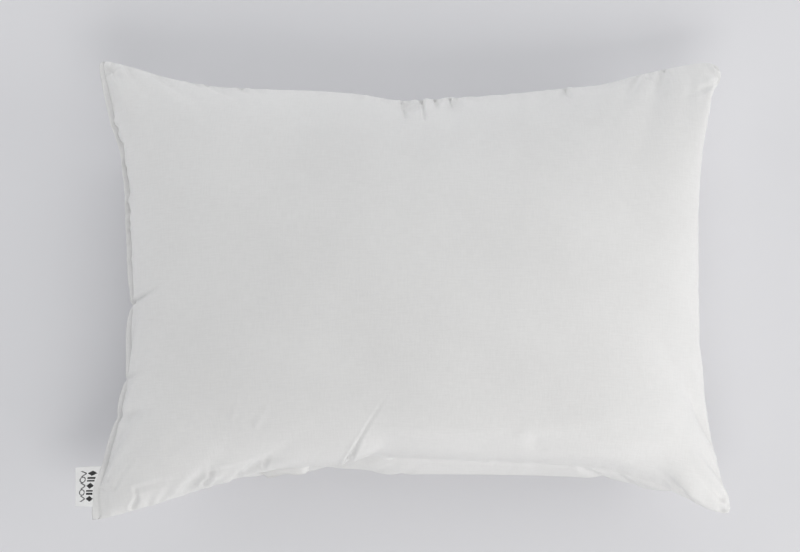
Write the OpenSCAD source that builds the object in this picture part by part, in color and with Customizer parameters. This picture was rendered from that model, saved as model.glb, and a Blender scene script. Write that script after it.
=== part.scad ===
// Bed pillow: a stuffed cotton casing, lying on its back panel.
// Frame: the origin is on the surface that the pillow lies on, under the middle of the
// casing. +X runs along the long sides, away from the closing seam, +Y runs across and
// +Z is up. All sizes are in millimetres.

/* [Casing] */
// Length from seam to seam, across the corners
casing_l = 670; // [600:2:760]
// Width across the corners of the closing side
closing_w = 490; // [460:2:560]
// Width across the corners of the far side
far_w = 478; // [450:2:560]
// Height of the crown above the surface
loft = 180; // [150:2:200]
// Height of the seam above the surface, halfway along a side
seam_h = 78; // [66:2:90]
// How much lower the seam is at the corners
corner_drop = 14; // [0:1:24]
// How far the closing side bows inwards
closing_bow = 36; // [10:1:50]
// How far the far side bows inwards
far_bow = 31; // [10:1:50]
// How far the front long side bows inwards
front_bow = 44; // [10:1:60]
// How far the back long side bows inwards
back_bow = 44; // [10:1:60]

/* [Cloth and seams] */
// Thickness of the casing cloth
cloth_t = 0.5; // [0.4:0.1:0.8]
// Seam allowance, turned inside the casing on three sides
allowance = 10; // [6:1:11]
// Width of the flat, edge-stitched closing seam
flange_w = 6; // [4:1:8]
// Diameter of the sewing thread
thread_d = 0.5; // [0.3:0.1:0.6]
// Width of the overlocked edge of the seam allowance
overlock_d = 1.8; // [1:0.2:2]
// Clearance between the filling and the casing
fill_gap = 2.5; // [2:0.5:4]

/* [Labels] */
// Width of the size label, along the seam
label_w = 40; // [30:1:50]
// How far the size label stands out of the closing seam
label_out = 20; // [15:1:30]
// Distance from the closing seam's front corner to the labels
label_gap = 15; // [15:1:60]
// Thickness of one ply of label ribbon
ribbon_t = 0.3; // [0.2:0.1:0.3]
// How much shorter and narrower the care label is
care_less = 4; // [2:1:8]

/* [Hidden] */

// The grid over a panel, in cells along X and Y
cells_x = 40;
cells_y = 32;
// Shape of the crown: how square it is, and how steeply it meets the seam
crown_square = 2.4;
crown_steep = 0.6;
// How much the outline keeps straight by its corners
bow_power = 1.4;
// The turn of the cloth at the seam: its height, and how close it is to the seam
welt_h = 2.5;
welt_power = 200;
// How far the underside would reach below the surface if nothing pressed it flat
press = 1.35;
// Half the space between the front and back plies at a seam
ply_gap = 0.05;
// The closing seam's taper at each corner
taper = 14;
// Extra space between the plies where the labels are sewn in, and its ramps
pocket = 0.9;
pocket_ramp = 16;
// From the seam line to the sewing threads, and to the filling's edge
stitch_in = 2.5;
stitch_out = 3;
filling_in = 15;
// Clear space beside the threads inside the casing: over the allowance, and past its edge
thread_gap = 0.3;
overlock_gap = 1.2;
// Rings of a thread are this many grid cells apart, with this many sides
ring_step = 2;
thread_sides = 8;
// From the closing seam's edge to the line about which the labels swing
hinge_out = 2.5;
// The labels' ends inside the closing seam
tab_in = 4.5;
tab_out = 1;

half_l = casing_l / 2;
half_w = (closing_w + far_w) / 4;
// The middle of the labels along the closing seam
label_y = label_gap + label_w / 2 - closing_w / 2;

// ---- The casing's surface, over u and v from -1 to 1 along X and Y ----

function grid(i, n) = sin(90 * (2 * i / n - 1));
function mix(a, b, t) = a + (b - a) * t;
function bow(t) = pow(1 - t * t, bow_power);
function crown(u, v) =
    pow((1 - pow(abs(u), crown_square)) * (1 - pow(abs(v), crown_square)), crown_steep);
function welt(u, v) = 1 - pow(max(abs(u), abs(v)), welt_power);

// The point in plan at u, v
function plan(u, v) = [
    u * half_l + (mix(closing_bow, -far_bow, (u + 1) / 2)) * bow(v),
    v * mix(closing_w, far_w, (u + 1) / 2) / 2 + mix(front_bow, -back_bow, (v + 1) / 2) * bow(u)
];

function seam_z(u, v) = seam_h - corner_drop * u * u * v * v;
// The point of the seam's surface that is d inside the outline at the rim
function inset(u, v, d) =
    let (a = u * (1 - d / half_l), b = v * (1 - d / half_w), p = plan(a, b))
    [p.x, p.y, seam_z(a, b)];
// The same, d outside the closing side's outline
function outset(u, v, d) = let (p = plan(u, v)) [p.x - d, p.y, seam_z(u, v)];
function crown_z(u, v) =
    seam_z(u, v) + welt_h * welt(u, v) + (loft - seam_h - welt_h) * crown(u, v);
function under_z(u, v) =
    max(0, seam_z(u, v) - welt_h * welt(u, v) - press * seam_h * crown(u, v));

// ---- The rim of a panel: an allowance turned inside, or the closing seam's flat edge ----

// 1 along the closing side, falling to 0 at its corners
function closing(u, v) = u > -1 ? 0 : min(1, (1 - abs(v)) * closing_w / 2 / taper);
// How far the rim reaches: inwards below 0, outwards above it
function reach(c) = c < 1/3 ? -allowance * (1 - 3 * c) : flange_w * (3 * c - 1) / 2;
// Half the space between the plies, wider at the labels
function label_pocket(u, v) =
    u > -1 ? 0 :
    pocket * max(0, min(1, (label_w / 2 + pocket_ramp - abs(v * closing_w / 2 - label_y)) / pocket_ramp));
function rim_place(u, v, out) = out < 0 ? inset(u, v, -out) : outset(u, v, out);
// One corner of the rim's section: its reach, and its height from the seam in plies,
// as an allowance and as a flange
function rim_point(u, v, side, share, plies_in, plies_out) =
    let (c = closing(u, v),
         p = rim_place(u, v, reach(c) * share),
         lift = ply_gap + label_pocket(u, v) * min(1, c) + cloth_t * mix(plies_in, plies_out, c))
    p + [0, 0, side * lift];

// ---- Panels ----

function on_rim(i, j) = i == 0 || i == cells_x || j == 0 || j == cells_y;
function face_z(u, v, side) = side > 0 ? crown_z(u, v) : under_z(u, v);
function outer_point(u, v, side) =
    let (p = plan(u, v)) [p.x, p.y, face_z(u, v, side)];
function inner_point(u, v, side) =
    let (p = inset(u, v, cloth_t)) [p.x, p.y, face_z(u, v, side) - side * cloth_t];
function inner_rim(u, v, side) =
    let (p = inset(u, v, cloth_t), q = rim_point(u, v, side, 0, 1, 0)) [p.x, p.y, q.z];

// The grid's rim, once round, anticlockwise from the front left corner
rim = concat([for (i = [0 : cells_x - 1]) [i, 0]],
             [for (j = [0 : cells_y - 1]) [cells_x, j]],
             [for (i = [cells_x : -1 : 1]) [i, cells_y]],
             [for (j = [cells_y : -1 : 1]) [0, j]]);

function cell_index(i, j) = i * (cells_y + 1) + j;
function sheet_faces(base, turned) = [
    for (i = [0 : cells_x - 1], j = [0 : cells_y - 1], half = [0, 1])
        let (a = base + cell_index(i, j), b = base + cell_index(i + 1, j),
             c = base + cell_index(i + 1, j + 1), d = base + cell_index(i, j + 1),
             f = half == 0 ? [a, b, c] : [a, c, d])
        turned ? [f[2], f[1], f[0]] : f];
// Two triangles for each step between two loops of points
function strip_faces(one, two, turned) = [
    for (k = [0 : len(one) - 1], half = [0, 1])
        let (n = (k + 1) % len(one),
             f = half == 0 ? [one[k], two[k], two[n]] : [one[k], two[n], one[n]])
        turned ? [f[2], f[1], f[0]] : f];

module panel(side) {
    count = (cells_x + 1) * (cells_y + 1);
    outer = [for (i = [0 : cells_x], j = [0 : cells_y])
        let (u = grid(i, cells_x), v = grid(j, cells_y))
        on_rim(i, j) ? rim_point(u, v, side, 0, 0, 2) : outer_point(u, v, side)];
    inner = [for (i = [0 : cells_x], j = [0 : cells_y])
        let (u = grid(i, cells_x), v = grid(j, cells_y))
        on_rim(i, j) ? inner_rim(u, v, side) : inner_point(u, v, side)];
    near = [for (k = rim) rim_point(grid(k[0], cells_x), grid(k[1], cells_y), side, 1, 0, 2)];
    far = [for (k = rim) rim_point(grid(k[0], cells_x), grid(k[1], cells_y), side, 1, 1, 0)];
    outer_loop = [for (k = rim) cell_index(k[0], k[1])];
    inner_loop = [for (k = outer_loop) count + k];
    near_loop = [for (k = [0 : len(rim) - 1]) 2 * count + k];
    far_loop = [for (k = near_loop) k + len(rim)];
    up = side > 0;
    polyhedron(
        points = concat(outer, inner, near, far),
        faces = concat(sheet_faces(0, up), sheet_faces(count, !up),
                       strip_faces(outer_loop, near_loop, up),
                       strip_faces(near_loop, far_loop, up),
                       strip_faces(far_loop, inner_loop, up)));
}

module front_panel() {
    color("whitesmoke") panel(1);
}

module back_panel() {
    color("gainsboro") panel(-1);
}

// ---- Filling: one mass of fibre balls that follows the casing ----

module filling() {
    count = (cells_x + 1) * (cells_y + 1);
    top = [for (i = [0 : cells_x], j = [0 : cells_y]) filling_point(i, j, 1)];
    bottom = [for (i = [0 : cells_x], j = [0 : cells_y]) filling_point(i, j, -1)];
    top_loop = [for (k = rim) cell_index(k[0], k[1])];
    bottom_loop = [for (k = top_loop) count + k];
    color("ivory")
        polyhedron(points = concat(top, bottom),
                   faces = concat(sheet_faces(0, true), sheet_faces(count, false),
                                  strip_faces(top_loop, bottom_loop, true)));
}

function filling_point(i, j, side) =
    let (u = grid(i, cells_x) * (1 - filling_in / half_l),
         v = grid(j, cells_y) * (1 - filling_in / half_w),
         p = plan(u, v))
    [p.x, p.y, face_z(u, v, side) - side * fill_gap];

// ---- Sewing threads ----

function unit(p) = p / norm(p);
function ring(path, k, r, sides) =
    let (ahead = unit(path[min(k + 1, len(path) - 1)] - path[max(k - 1, 0)]),
         across = unit(cross([0, 0, 1], ahead)),
         up = cross(ahead, across))
    [for (s = [0 : sides - 1])
        path[k] + r * (cos(360 * s / sides) * across + sin(360 * s / sides) * up)];

module tube(path, d, sides) {
    n = len(path);
    points = [for (k = [0 : n - 1]) each ring(path, k, d / 2, sides)];
    sleeve = [for (k = [0 : n - 2], s = [0 : sides - 1], half = [0, 1])
        let (a = k * sides + s, b = k * sides + (s + 1) % sides)
        half == 0 ? [b + sides, b, a] : [a + sides, b + sides, a]];
    first = [for (s = [0 : sides - 1]) s];
    last = [for (s = [sides - 1 : -1 : 0]) (n - 1) * sides + s];
    polyhedron(points = points, faces = concat([first], [last], sleeve));
}

// The three sewn sides, from the back left corner round to the front left one
sewn_sides = concat([for (i = [1 : ring_step : cells_x - 1]) [i, cells_y]],
                    [for (j = [cells_y : -ring_step : 0]) [cells_x, j]],
                    [for (i = [cells_x - 1 : -ring_step : 1]) [i, 0]]);

function sewn_path(d, z) = [for (k = sewn_sides)
    inset(grid(k[0], cells_x), grid(k[1], cells_y), d) + [0, 0, z]];
function closing_path(side) = [for (j = [3 : cells_y - 3])
    let (v = grid(j, cells_y), p = outset(-1, v, stitch_out),
         on_cloth = rim_point(-1, v, side, 1, 0, 2))
    [p.x, p.y, on_cloth.z + side * (thread_d / 2 + ply_gap)]];

on_allowance = ply_gap + cloth_t + thread_d / 2 + thread_gap;

module perimeter_needle_thread() {
    color("white") tube(sewn_path(stitch_in, on_allowance), thread_d, thread_sides);
}

module perimeter_looper_thread() {
    color("white") tube(sewn_path(stitch_in, -on_allowance), thread_d, thread_sides);
}

module overlock_thread() {
    color("white")
        tube(sewn_path(allowance + overlock_d / 2 + overlock_gap, 0), overlock_d, thread_sides);
}

module closing_needle_thread() {
    color("white") tube(closing_path(1), thread_d, thread_sides);
}

module closing_bobbin_thread() {
    color("white") tube(closing_path(-1), thread_d, thread_sides);
}

// ---- Labels, sewn into the closing seam near its front corner ----

label_z = seam_z(-1, 2 * label_y / closing_w);
// The seam's slope along the labels
label_tilt = atan((seam_z(-1, (2 * label_y + label_w) / closing_w)
                   - seam_z(-1, (2 * label_y - label_w) / closing_w)) / label_w);
// The edge of the closing seam, moved out by d, at the height y along it
function edge_at(y, d) = let (p = outset(-1, 2 * y / closing_w, flange_w + d)) [p.x, p.y];

// A label in plan: a slanted end that follows the seam, and a square outer end
module label_plan(from, to, less) {
    low = label_y - (label_w - less) / 2;
    high = label_y + (label_w - less) / 2;
    outer = edge_at(label_y, to).x;
    polygon([edge_at(low, from), edge_at(high, from), [outer, high], [outer, low]]);
}

module tab_plan(less) {
    low = label_y - (label_w - less) / 2;
    high = label_y + (label_w - less) / 2;
    polygon([edge_at(low, tab_out), edge_at(high, tab_out),
             edge_at(high, -tab_in), edge_at(low, -tab_in)]);
}

// Lays what is drawn about height 0 along the sloping seam
module at_seam() {
    translate([0, label_y, label_z]) rotate([label_tilt, 0, 0]) translate([0, -label_y, 0])
        children();
}

// A ribbon folded double: two plies with a slot between them, closed at the outer end
module size_label() {
    color("white") at_seam() translate([0, 0, ply_gap]) difference() {
        linear_extrude(3 * ribbon_t) label_plan(hinge_out, label_out, 0);
        translate([0, 0, ribbon_t])
            linear_extrude(ribbon_t) label_plan(-1, label_out - 2 * ribbon_t, -2);
    }
}

module size_label_tab() {
    color("white") at_seam() translate([0, 0, ply_gap])
        linear_extrude(2 * ribbon_t) tab_plan(0);
}

module care_label() {
    color("white") at_seam() translate([0, 0, -ply_gap - ribbon_t])
        linear_extrude(ribbon_t) label_plan(hinge_out, label_out - care_less, care_less);
}

module care_label_tab() {
    color("white") at_seam() translate([0, 0, -ply_gap - ribbon_t])
        linear_extrude(ribbon_t) tab_plan(care_less);
}

front_panel();
back_panel();
filling();
perimeter_needle_thread();
perimeter_looper_thread();
overlock_thread();
closing_needle_thread();
closing_bobbin_thread();
size_label();
size_label_tab();
care_label();
care_label_tab();
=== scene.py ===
"""A bed pillow: a filled cotton casing with its seams, threads, filling and labels."""
import math

import bpy
import numpy as np
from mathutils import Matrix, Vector


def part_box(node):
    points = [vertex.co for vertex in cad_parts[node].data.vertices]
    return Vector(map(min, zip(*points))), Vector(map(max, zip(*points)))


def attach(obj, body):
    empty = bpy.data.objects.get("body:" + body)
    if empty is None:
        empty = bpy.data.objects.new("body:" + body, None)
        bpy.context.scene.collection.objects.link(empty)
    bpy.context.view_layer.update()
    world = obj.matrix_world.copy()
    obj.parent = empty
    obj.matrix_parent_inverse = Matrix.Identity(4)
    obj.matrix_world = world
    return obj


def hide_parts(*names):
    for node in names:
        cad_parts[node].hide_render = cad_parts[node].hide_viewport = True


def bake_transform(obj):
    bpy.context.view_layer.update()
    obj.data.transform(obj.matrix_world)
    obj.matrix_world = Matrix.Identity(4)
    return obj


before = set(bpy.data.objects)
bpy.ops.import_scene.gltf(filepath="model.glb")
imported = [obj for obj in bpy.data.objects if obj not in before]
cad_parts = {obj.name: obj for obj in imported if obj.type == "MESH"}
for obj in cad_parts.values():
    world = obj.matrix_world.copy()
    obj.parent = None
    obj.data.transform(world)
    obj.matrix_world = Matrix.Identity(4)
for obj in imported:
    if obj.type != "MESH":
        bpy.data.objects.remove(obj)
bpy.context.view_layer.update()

MM = 0.001

# ---- camera, floor and light

CAMERA_ELEVATION = 83.0
CAMERA_DISTANCE = 2.4
LENS = 101.5
AIM = Vector((-0.0117, 0.0135, 0.065))
FLOOR_COLOUR = (0.79, 0.79, 0.815, 1.0)


def new_material(name):
    material = bpy.data.materials.new(name)
    material.use_nodes = True
    tree = material.node_tree
    return material, tree, tree.nodes["Principled BSDF"]


def put_camera():
    camera = bpy.data.objects.new("camera", bpy.data.cameras.new("camera"))
    bpy.context.scene.collection.objects.link(camera)
    bpy.context.scene.camera = camera
    tilt = math.radians(CAMERA_ELEVATION)
    back = Vector((0.0, -math.cos(tilt), math.sin(tilt)))
    camera.location = AIM + back * CAMERA_DISTANCE
    camera.rotation_mode = "QUATERNION"
    camera.rotation_quaternion = (-back).to_track_quat("-Z", "Y")
    camera.data.lens = LENS


def area_light(name, place, size, power, colour):
    """A soft light that faces the pillow."""
    data = bpy.data.lights.new(name, "AREA")
    data.shape = "RECTANGLE"
    data.size, data.size_y = size
    data.energy = power
    data.color = colour
    light = bpy.data.objects.new(name, data)
    bpy.context.scene.collection.objects.link(light)
    light.location = place
    aim = Vector((0.0, 0.0, 0.06)) - Vector(place)
    light.rotation_mode = "QUATERNION"
    light.rotation_quaternion = aim.to_track_quat("-Z", "Y")


def put_studio():
    mesh = bpy.data.meshes.new("floor")
    half, below = 6.0, -0.0005
    corners = [(-half, -half, below), (half, -half, below), (half, half, below), (-half, half, below)]
    mesh.from_pydata(corners, [], [(0, 1, 2, 3)])
    floor = bpy.data.objects.new("floor", mesh)
    bpy.context.scene.collection.objects.link(floor)
    material, _, shader = new_material("floor_paper")
    shader.inputs["Base Color"].default_value = FLOOR_COLOUR
    shader.inputs["Roughness"].default_value = 0.95
    mesh.materials.append(material)

    world = bpy.data.worlds.new("world")
    bpy.context.scene.world = world
    world.use_nodes = True
    background = world.node_tree.nodes["Background"]
    background.inputs["Color"].default_value = (0.97, 0.985, 1.0, 1.0)
    background.inputs["Strength"].default_value = 0.385
    warm, plain = (1.0, 0.985, 0.965), (1.0, 1.0, 1.0)
    area_light("front", (0.5, -1.95, 1.7), (2.2, 1.6), 27.5, warm)
    area_light("side", (2.4, -0.3, 0.8), (2.0, 1.0), 22.0, warm)
    area_light("back", (0.3, 2.3, 0.85), (2.8, 1.0), 20.0, plain)
    area_light("left", (-2.2, 0.7, 0.85), (2.0, 1.0), 13.5, plain)
    bpy.context.scene.view_settings.view_transform = "Standard"


put_camera()
put_studio()

# ---- the casing's seam, in mm

# The flat casing between its stitch lines
CUT_L, CUT_W = 692.0, 500.0

# Where the filled casing's seam runs: x, y and height, from corner to corner
FRONT_SIDE = [
    (-327, -244, 62), (-300, -237, 64), (-262, -226, 67), (-205, -208, 73), (-150, -193, 80),
    (-100, -187, 86), (-72, -185, 88), (-52, -179, 92), (0, -181, 99), (70, -185, 101),
    (150, -188, 99), (200, -192, 94), (243, -202, 85), (268, -212, 77), (293, -224, 70),
    (318, -235, 63), (337, -239, 60),
]
FAR_SIDE = [
    (337, -239, 60), (335, -224, 61), (328, -206, 63), (322, -182, 65), (316, -158, 67),
    (310, -120, 71), (304, -82, 75), (301, -30, 78), (301, 25, 79), (301, 70, 78), (304, 115, 76),
    (308, 145, 73), (315, 173, 69), (320, 197, 66), (324, 212, 64), (332, 224, 62), (335, 234, 61),
    (332, 243, 60),
]
BACK_SIDE = [
    (-332, 248, 62), (-300, 240, 64), (-262, 228, 67), (-215, 218, 71), (-160, 214, 74),
    (-100, 212, 74), (-50, 208, 72), (-10, 202, 70), (40, 205, 68), (95, 209, 67),
    (160, 216, 66), (205, 221, 65), (240, 230, 64), (268, 237, 62), (292, 242, 61),
    (318, 246, 60), (332, 243, 60),
]
CLOSING_SIDE = [
    (-327, -244, 62), (-328, -214, 65), (-320, -190, 67), (-313, -163, 69), (-305, -138, 72),
    (-302, -118, 73), (-296, -98, 75), (-295, -75, 76), (-295, -45, 77), (-291, -17, 78),
    (-294, 12, 78), (-296, 50, 77), (-298, 90, 75), (-302, 125, 73), (-306, 150, 71),
    (-315, 176, 68), (-321, 198, 65), (-332, 248, 62),
]

# Where more cloth than usual is taken up along a side: place, length of cloth, spread
FRONT_GATHERS = [(282, 5, 6), (60, 2, 10), (118, 2, 9), (152, 2, 8), (640, 3, 8)]
FAR_GATHERS = [(60, 2, 20)]
BACK_GATHERS = [
    (342, 2, 5), (362, 2, 5), (378, 1.5, 5), (396, 1.5, 5), (120, 1.5, 6), (160, 1.5, 6),
    (520, 1.5, 6), (610, 2, 8),
]
CLOSING_GATHERS = [(229, 3, 5), (148, 2, 5), (108, 2, 6), (330, 2, 25), (400, 2, 25)]

# How round each corner of the seam is, from 0 to 1: closing front, far front, far back, closing back
CORNER_ROUNDING = (0.2, 1.0, 0.9, 0.7)


def catmull(points, per_span=24):
    """A smooth curve through the points, as many short steps."""
    p = np.array(points, float)
    p = np.vstack([2 * p[0] - p[1], p, 2 * p[-1] - p[-2]])
    out = []
    for k in range(1, len(p) - 2):
        t = np.linspace(0, 1, per_span, endpoint=False)[:, None]
        a, b, c, d = p[k - 1], p[k], p[k + 1], p[k + 2]
        out.append(0.5 * (2 * b + (c - a) * t + (2 * a - 5 * b + 4 * c - d) * t**2
                          + (3 * b - a - 3 * c + d) * t**3))
    out.append(p[-2][None])
    return np.vstack(out)


def run_of(path):
    """Each point's distance along a path."""
    return np.concatenate([[0], np.cumsum(np.linalg.norm(np.diff(path, axis=0), axis=1))])


def read_off(at, run, values):
    """Points, or directions, read off a row of them at other places along it."""
    return np.stack([np.interp(at, run, values[:, k]) for k in range(3)], axis=1)


def unit(ways):
    return ways / np.maximum(np.linalg.norm(ways, axis=-1, keepdims=True), 1e-9)


def seam_line(points, gathers, length, count):
    """Points where evenly spaced cloth lies along a side, with the gathers closer together."""
    curve = catmull(points)
    run = run_of(curve)
    fine = np.linspace(0, length, 4001)
    density = np.ones_like(fine)
    for place, amount, spread in gathers:
        hump = np.exp(-0.5 * ((fine - place) / spread) ** 2)
        density -= amount * hump / (spread * math.sqrt(2 * math.pi))
    density = np.maximum(density, 0.12)
    density *= run[-1] / (((density[1:] + density[:-1]) / 2 * np.diff(fine)).sum())
    where = np.concatenate([[0], np.cumsum((density[1:] + density[:-1]) / 2 * np.diff(fine))])
    at = np.interp(np.linspace(0, length, count + 1), fine, where)
    return read_off(at, run, curve)


# ---- the cloth simulation

# The height that the simulation starts from, and the filling's volume, in mm and cubic mm
LOFT = 182.0
VOLUME = 36.0e6
# The simulation's grids, coarse to fine: cells along and across, steps, push, how firmly the seam is
# drawn to its curve, and the cloth's resistance to stretch, squash, shear and bending
GRIDS = [((70, 50), 500, 0.012, 0.35, (1.0, 0.7, 0.15, 0.25)),
         ((140, 100), 320, 0.004, 0.35, (1.0, 0.8, 0.15, 0.3)),
         ((280, 200), 160, 0.0012, 0.4, (1.0, 0.8, 0.15, 0.4))][:3]
# The most that a point moves in one step, and the share of its speed that it keeps
FASTEST, CARRIED = 1.0, 0.97
# Below this height the filling's weight makes it press harder on the panels
SAG_HEIGHT = 85.0


def smooth_noise(shape, cell, seed, scale=1.0):
    """Smooth random hills over a grid of the given shape, with hills about cell grid steps apart."""
    rng = np.random.default_rng(seed)
    nx, ny = (max(2, int(math.ceil(n / cell)) + 3) for n in shape)
    coarse = rng.standard_normal((nx, ny)) * scale
    x = np.arange(shape[0]) / cell
    y = np.arange(shape[1]) / cell

    def weights(t):
        i = np.floor(t).astype(int)
        f = t - i
        w = np.stack([(1 - f) ** 3 / 6, (3 * f**3 - 6 * f**2 + 4) / 6,
                      (-3 * f**3 + 3 * f**2 + 3 * f + 1) / 6, f**3 / 6], axis=1)
        return i, w

    i, wi = weights(x)
    j, wj = weights(y)
    out = np.zeros(shape)
    for a in range(4):
        for b in range(4):
            rows = np.minimum(i + a, nx - 1)
            cols = np.minimum(j + b, ny - 1)
            out += wi[:, a][:, None] * wj[:, b][None, :] * coarse[np.ix_(rows, cols)]
    return out


def rim_loop(nx, ny):
    """The rim's grid places in order, anticlockwise from the closing side's front corner."""
    steps = ([(i, 0) for i in range(nx)] + [(nx, j) for j in range(ny)]
             + [(i, ny) for i in range(nx, 0, -1)] + [(0, j) for j in range(ny, 0, -1)])
    return tuple(np.array(k) for k in zip(*steps))


def rim_index(nx, ny):
    """The rim's places in the same order, as numbers of the grid's points."""
    i, j = rim_loop(nx, ny)
    return i * (ny + 1) + j


def round_corners(place):
    """Rounds the seam's corners by smoothing it along its length close to them."""
    spread, widest, near_corner = 6.5, 20.0, 16.0
    nx, ny = place.shape[0] - 1, place.shape[1] - 1
    i, j = rim_loop(nx, ny)
    step = CUT_L / nx
    loop = place[i, j]
    soft = np.zeros_like(loop)
    reach = int(math.ceil(widest / step))
    weights = [math.exp(-0.5 * (k * step / spread) ** 2) for k in range(-reach, reach + 1)]
    for k, w in zip(range(-reach, reach + 1), weights):
        soft += w / sum(weights) * np.roll(loop, k, axis=0)
    order = np.arange(len(loop))
    for corner, strength in zip((0, nx, nx + ny, 2 * nx + ny), CORNER_ROUNDING):
        far = np.abs((order - corner + len(loop) // 2) % len(loop) - len(loop) // 2) * step
        share = (strength * np.exp(-(far / near_corner) ** 2))[:, None]
        loop = (1 - share) * loop + share * soft
    place[i, j] = loop


def rims(nx, ny):
    """A surface ruled between the seams, the seam's place at the rim's points, and the rim's mask."""
    front = seam_line(FRONT_SIDE, FRONT_GATHERS, CUT_L, nx)
    back = seam_line(BACK_SIDE, BACK_GATHERS, CUT_L, nx)
    closing = seam_line(CLOSING_SIDE, CLOSING_GATHERS, CUT_W, ny)
    far = seam_line(FAR_SIDE, FAR_GATHERS, CUT_W, ny)
    place = np.zeros((nx + 1, ny + 1, 3))
    mask = np.zeros((nx + 1, ny + 1), bool)
    place[:, 0], place[:, -1] = front, back
    place[0, :], place[-1, :] = closing, far
    mask[:, 0] = mask[:, -1] = mask[0, :] = mask[-1, :] = True
    round_corners(place)
    front, back, closing, far = place[:, 0], place[:, -1], place[0], place[-1]
    u = np.linspace(0, 1, nx + 1)[:, None, None]
    v = np.linspace(0, 1, ny + 1)[None, :, None]
    ruled = ((1 - v) * front[:, None] + v * back[:, None] + (1 - u) * closing[None] + u * far[None]
             - (1 - u) * (1 - v) * front[0] - u * (1 - v) * front[-1]
             - (1 - u) * v * back[0] - u * v * back[-1])
    return ruled, place, mask


def start_shape(nx, ny):
    """A plain crowned form over the seam, for the simulation to start from."""
    ruled, place, mask = rims(nx, ny)
    u = np.linspace(-1, 1, nx + 1)[:, None]
    v = np.linspace(-1, 1, ny + 1)[None, :]
    crown = ((1 - np.abs(u) ** 2.6) * (1 - np.abs(v) ** 2.6)) ** 0.55
    shape = np.stack([ruled, ruled])
    shape[0, :, :, 2] += (LOFT - ruled[:, :, 2]) * crown
    shape[1, :, :, 2] = np.maximum(0.0, ruled[:, :, 2] * (1 - 1.3 * crown))
    return shape, place, mask


def pull(a, b, rest, stiff, squash):
    """Moves the ends of springs a-b towards their rest length, where they are views of one array."""
    d = b - a
    length = np.sqrt((d * d).sum(-1))
    over = (length - rest) / np.maximum(length, 1e-6)
    share = np.where(over > 0, stiff, squash) * 0.5 * over
    move = d * share[..., None]
    a += move
    b -= move


def pairs(one, two, apart, start):
    """Views of the points in two grids that lie some rows apart, every other pair of them."""
    a, b = one[:, start:-apart:2 * apart], two[:, start + apart::2 * apart]
    n = min(a.shape[1], b.shape[1])
    return a[:, :n], b[:, :n]


def springs(p, dx, dy, stiff, squash, shear, bend):
    """One pass over every spring of both panels; dy holds a length for each panel and column."""
    diagonal = np.hypot(dx, dy[:, :-1])
    across = p.swapaxes(1, 2)
    dy_across = dy.swapaxes(1, 2)
    for k in (0, 1):
        pull(*pairs(p, p, 1, k), dx, stiff, squash)
    for k in (0, 1):
        pull(*pairs(across, across, 1, k), dy_across, stiff, squash)
    for k in (0, 1):
        for one, two in ((p[:, :, :-1], p[:, :, 1:]), (p[:, :, 1:], p[:, :, :-1])):
            a, b = pairs(one, two, 1, k)
            pull(a, b, diagonal[:, k::2][:, :a.shape[1]], shear, shear)
    for k in (0, 1, 2, 3):
        pull(*pairs(p, p, 2, k), 2 * dx, 0.0, bend)
        pull(*pairs(across, across, 2, k), 2 * dy_across, 0.0, bend)


def normals_of(p):
    """The outward normal at each point, as long as its share of the area, for both panels."""
    n = np.cross(np.gradient(p, axis=1), np.gradient(p, axis=2))
    n[1] *= -1
    return n


def volume_of(p):
    """The volume between the panels, in cubic mm."""
    n = normals_of(p)
    return float((n[..., 2] * p[..., 2]).sum())


def smooth_step(value, low, high):
    t = np.clip((value - low) / (high - low), 0, 1)
    return t * t * (3 - 2 * t)


def flat_grid(nx, ny):
    """The place of each grid line on the flat cloth, along it and across it."""
    return np.linspace(0, CUT_L, nx + 1)[:, None], np.linspace(0, CUT_W, ny + 1)[None, :]


def to_edge(x, y):
    """How far places on the flat cloth are from the nearest seam."""
    return np.minimum(np.minimum(x, CUT_L - x), np.minimum(y, CUT_W - y))


def bell(x, middle, spread):
    return np.exp(-((x - middle) / spread) ** 2)


def rolled_up(x):
    """From 0 to 1, where the front side's seam has rolled up towards the front panel."""
    return smooth_step(x, 285, 320) * (1 - smooth_step(x, 600, 650))


def half_rolled(x):
    """From 0 to 1, where the front side's seam has rolled up a little, short of the notch."""
    return smooth_step(x, 150, 215) * (1 - smooth_step(x, 285, 320))


def fullness(nx, ny):
    """How hard the filling presses on each panel: softly beside the seams that stand clear."""
    x, y = flat_grid(nx, ny)
    weights = np.ones((2, nx + 1, ny + 1))
    weights[0] -= 0.9 * bell(x, 0, 38)
    weights[1] -= 0.5 * bell(x, 0, 30)
    weights[0] -= 0.9 * rolled_up(x) * bell(y, 0, 38)
    return np.maximum(weights, 0.05)[..., None]


def least_gap(nx, ny):
    """The room that the allowances and the filling keep between the panels."""
    return np.minimum(0.4 + 0.28 * to_edge(*flat_grid(nx, ny)), 3.2)


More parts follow.
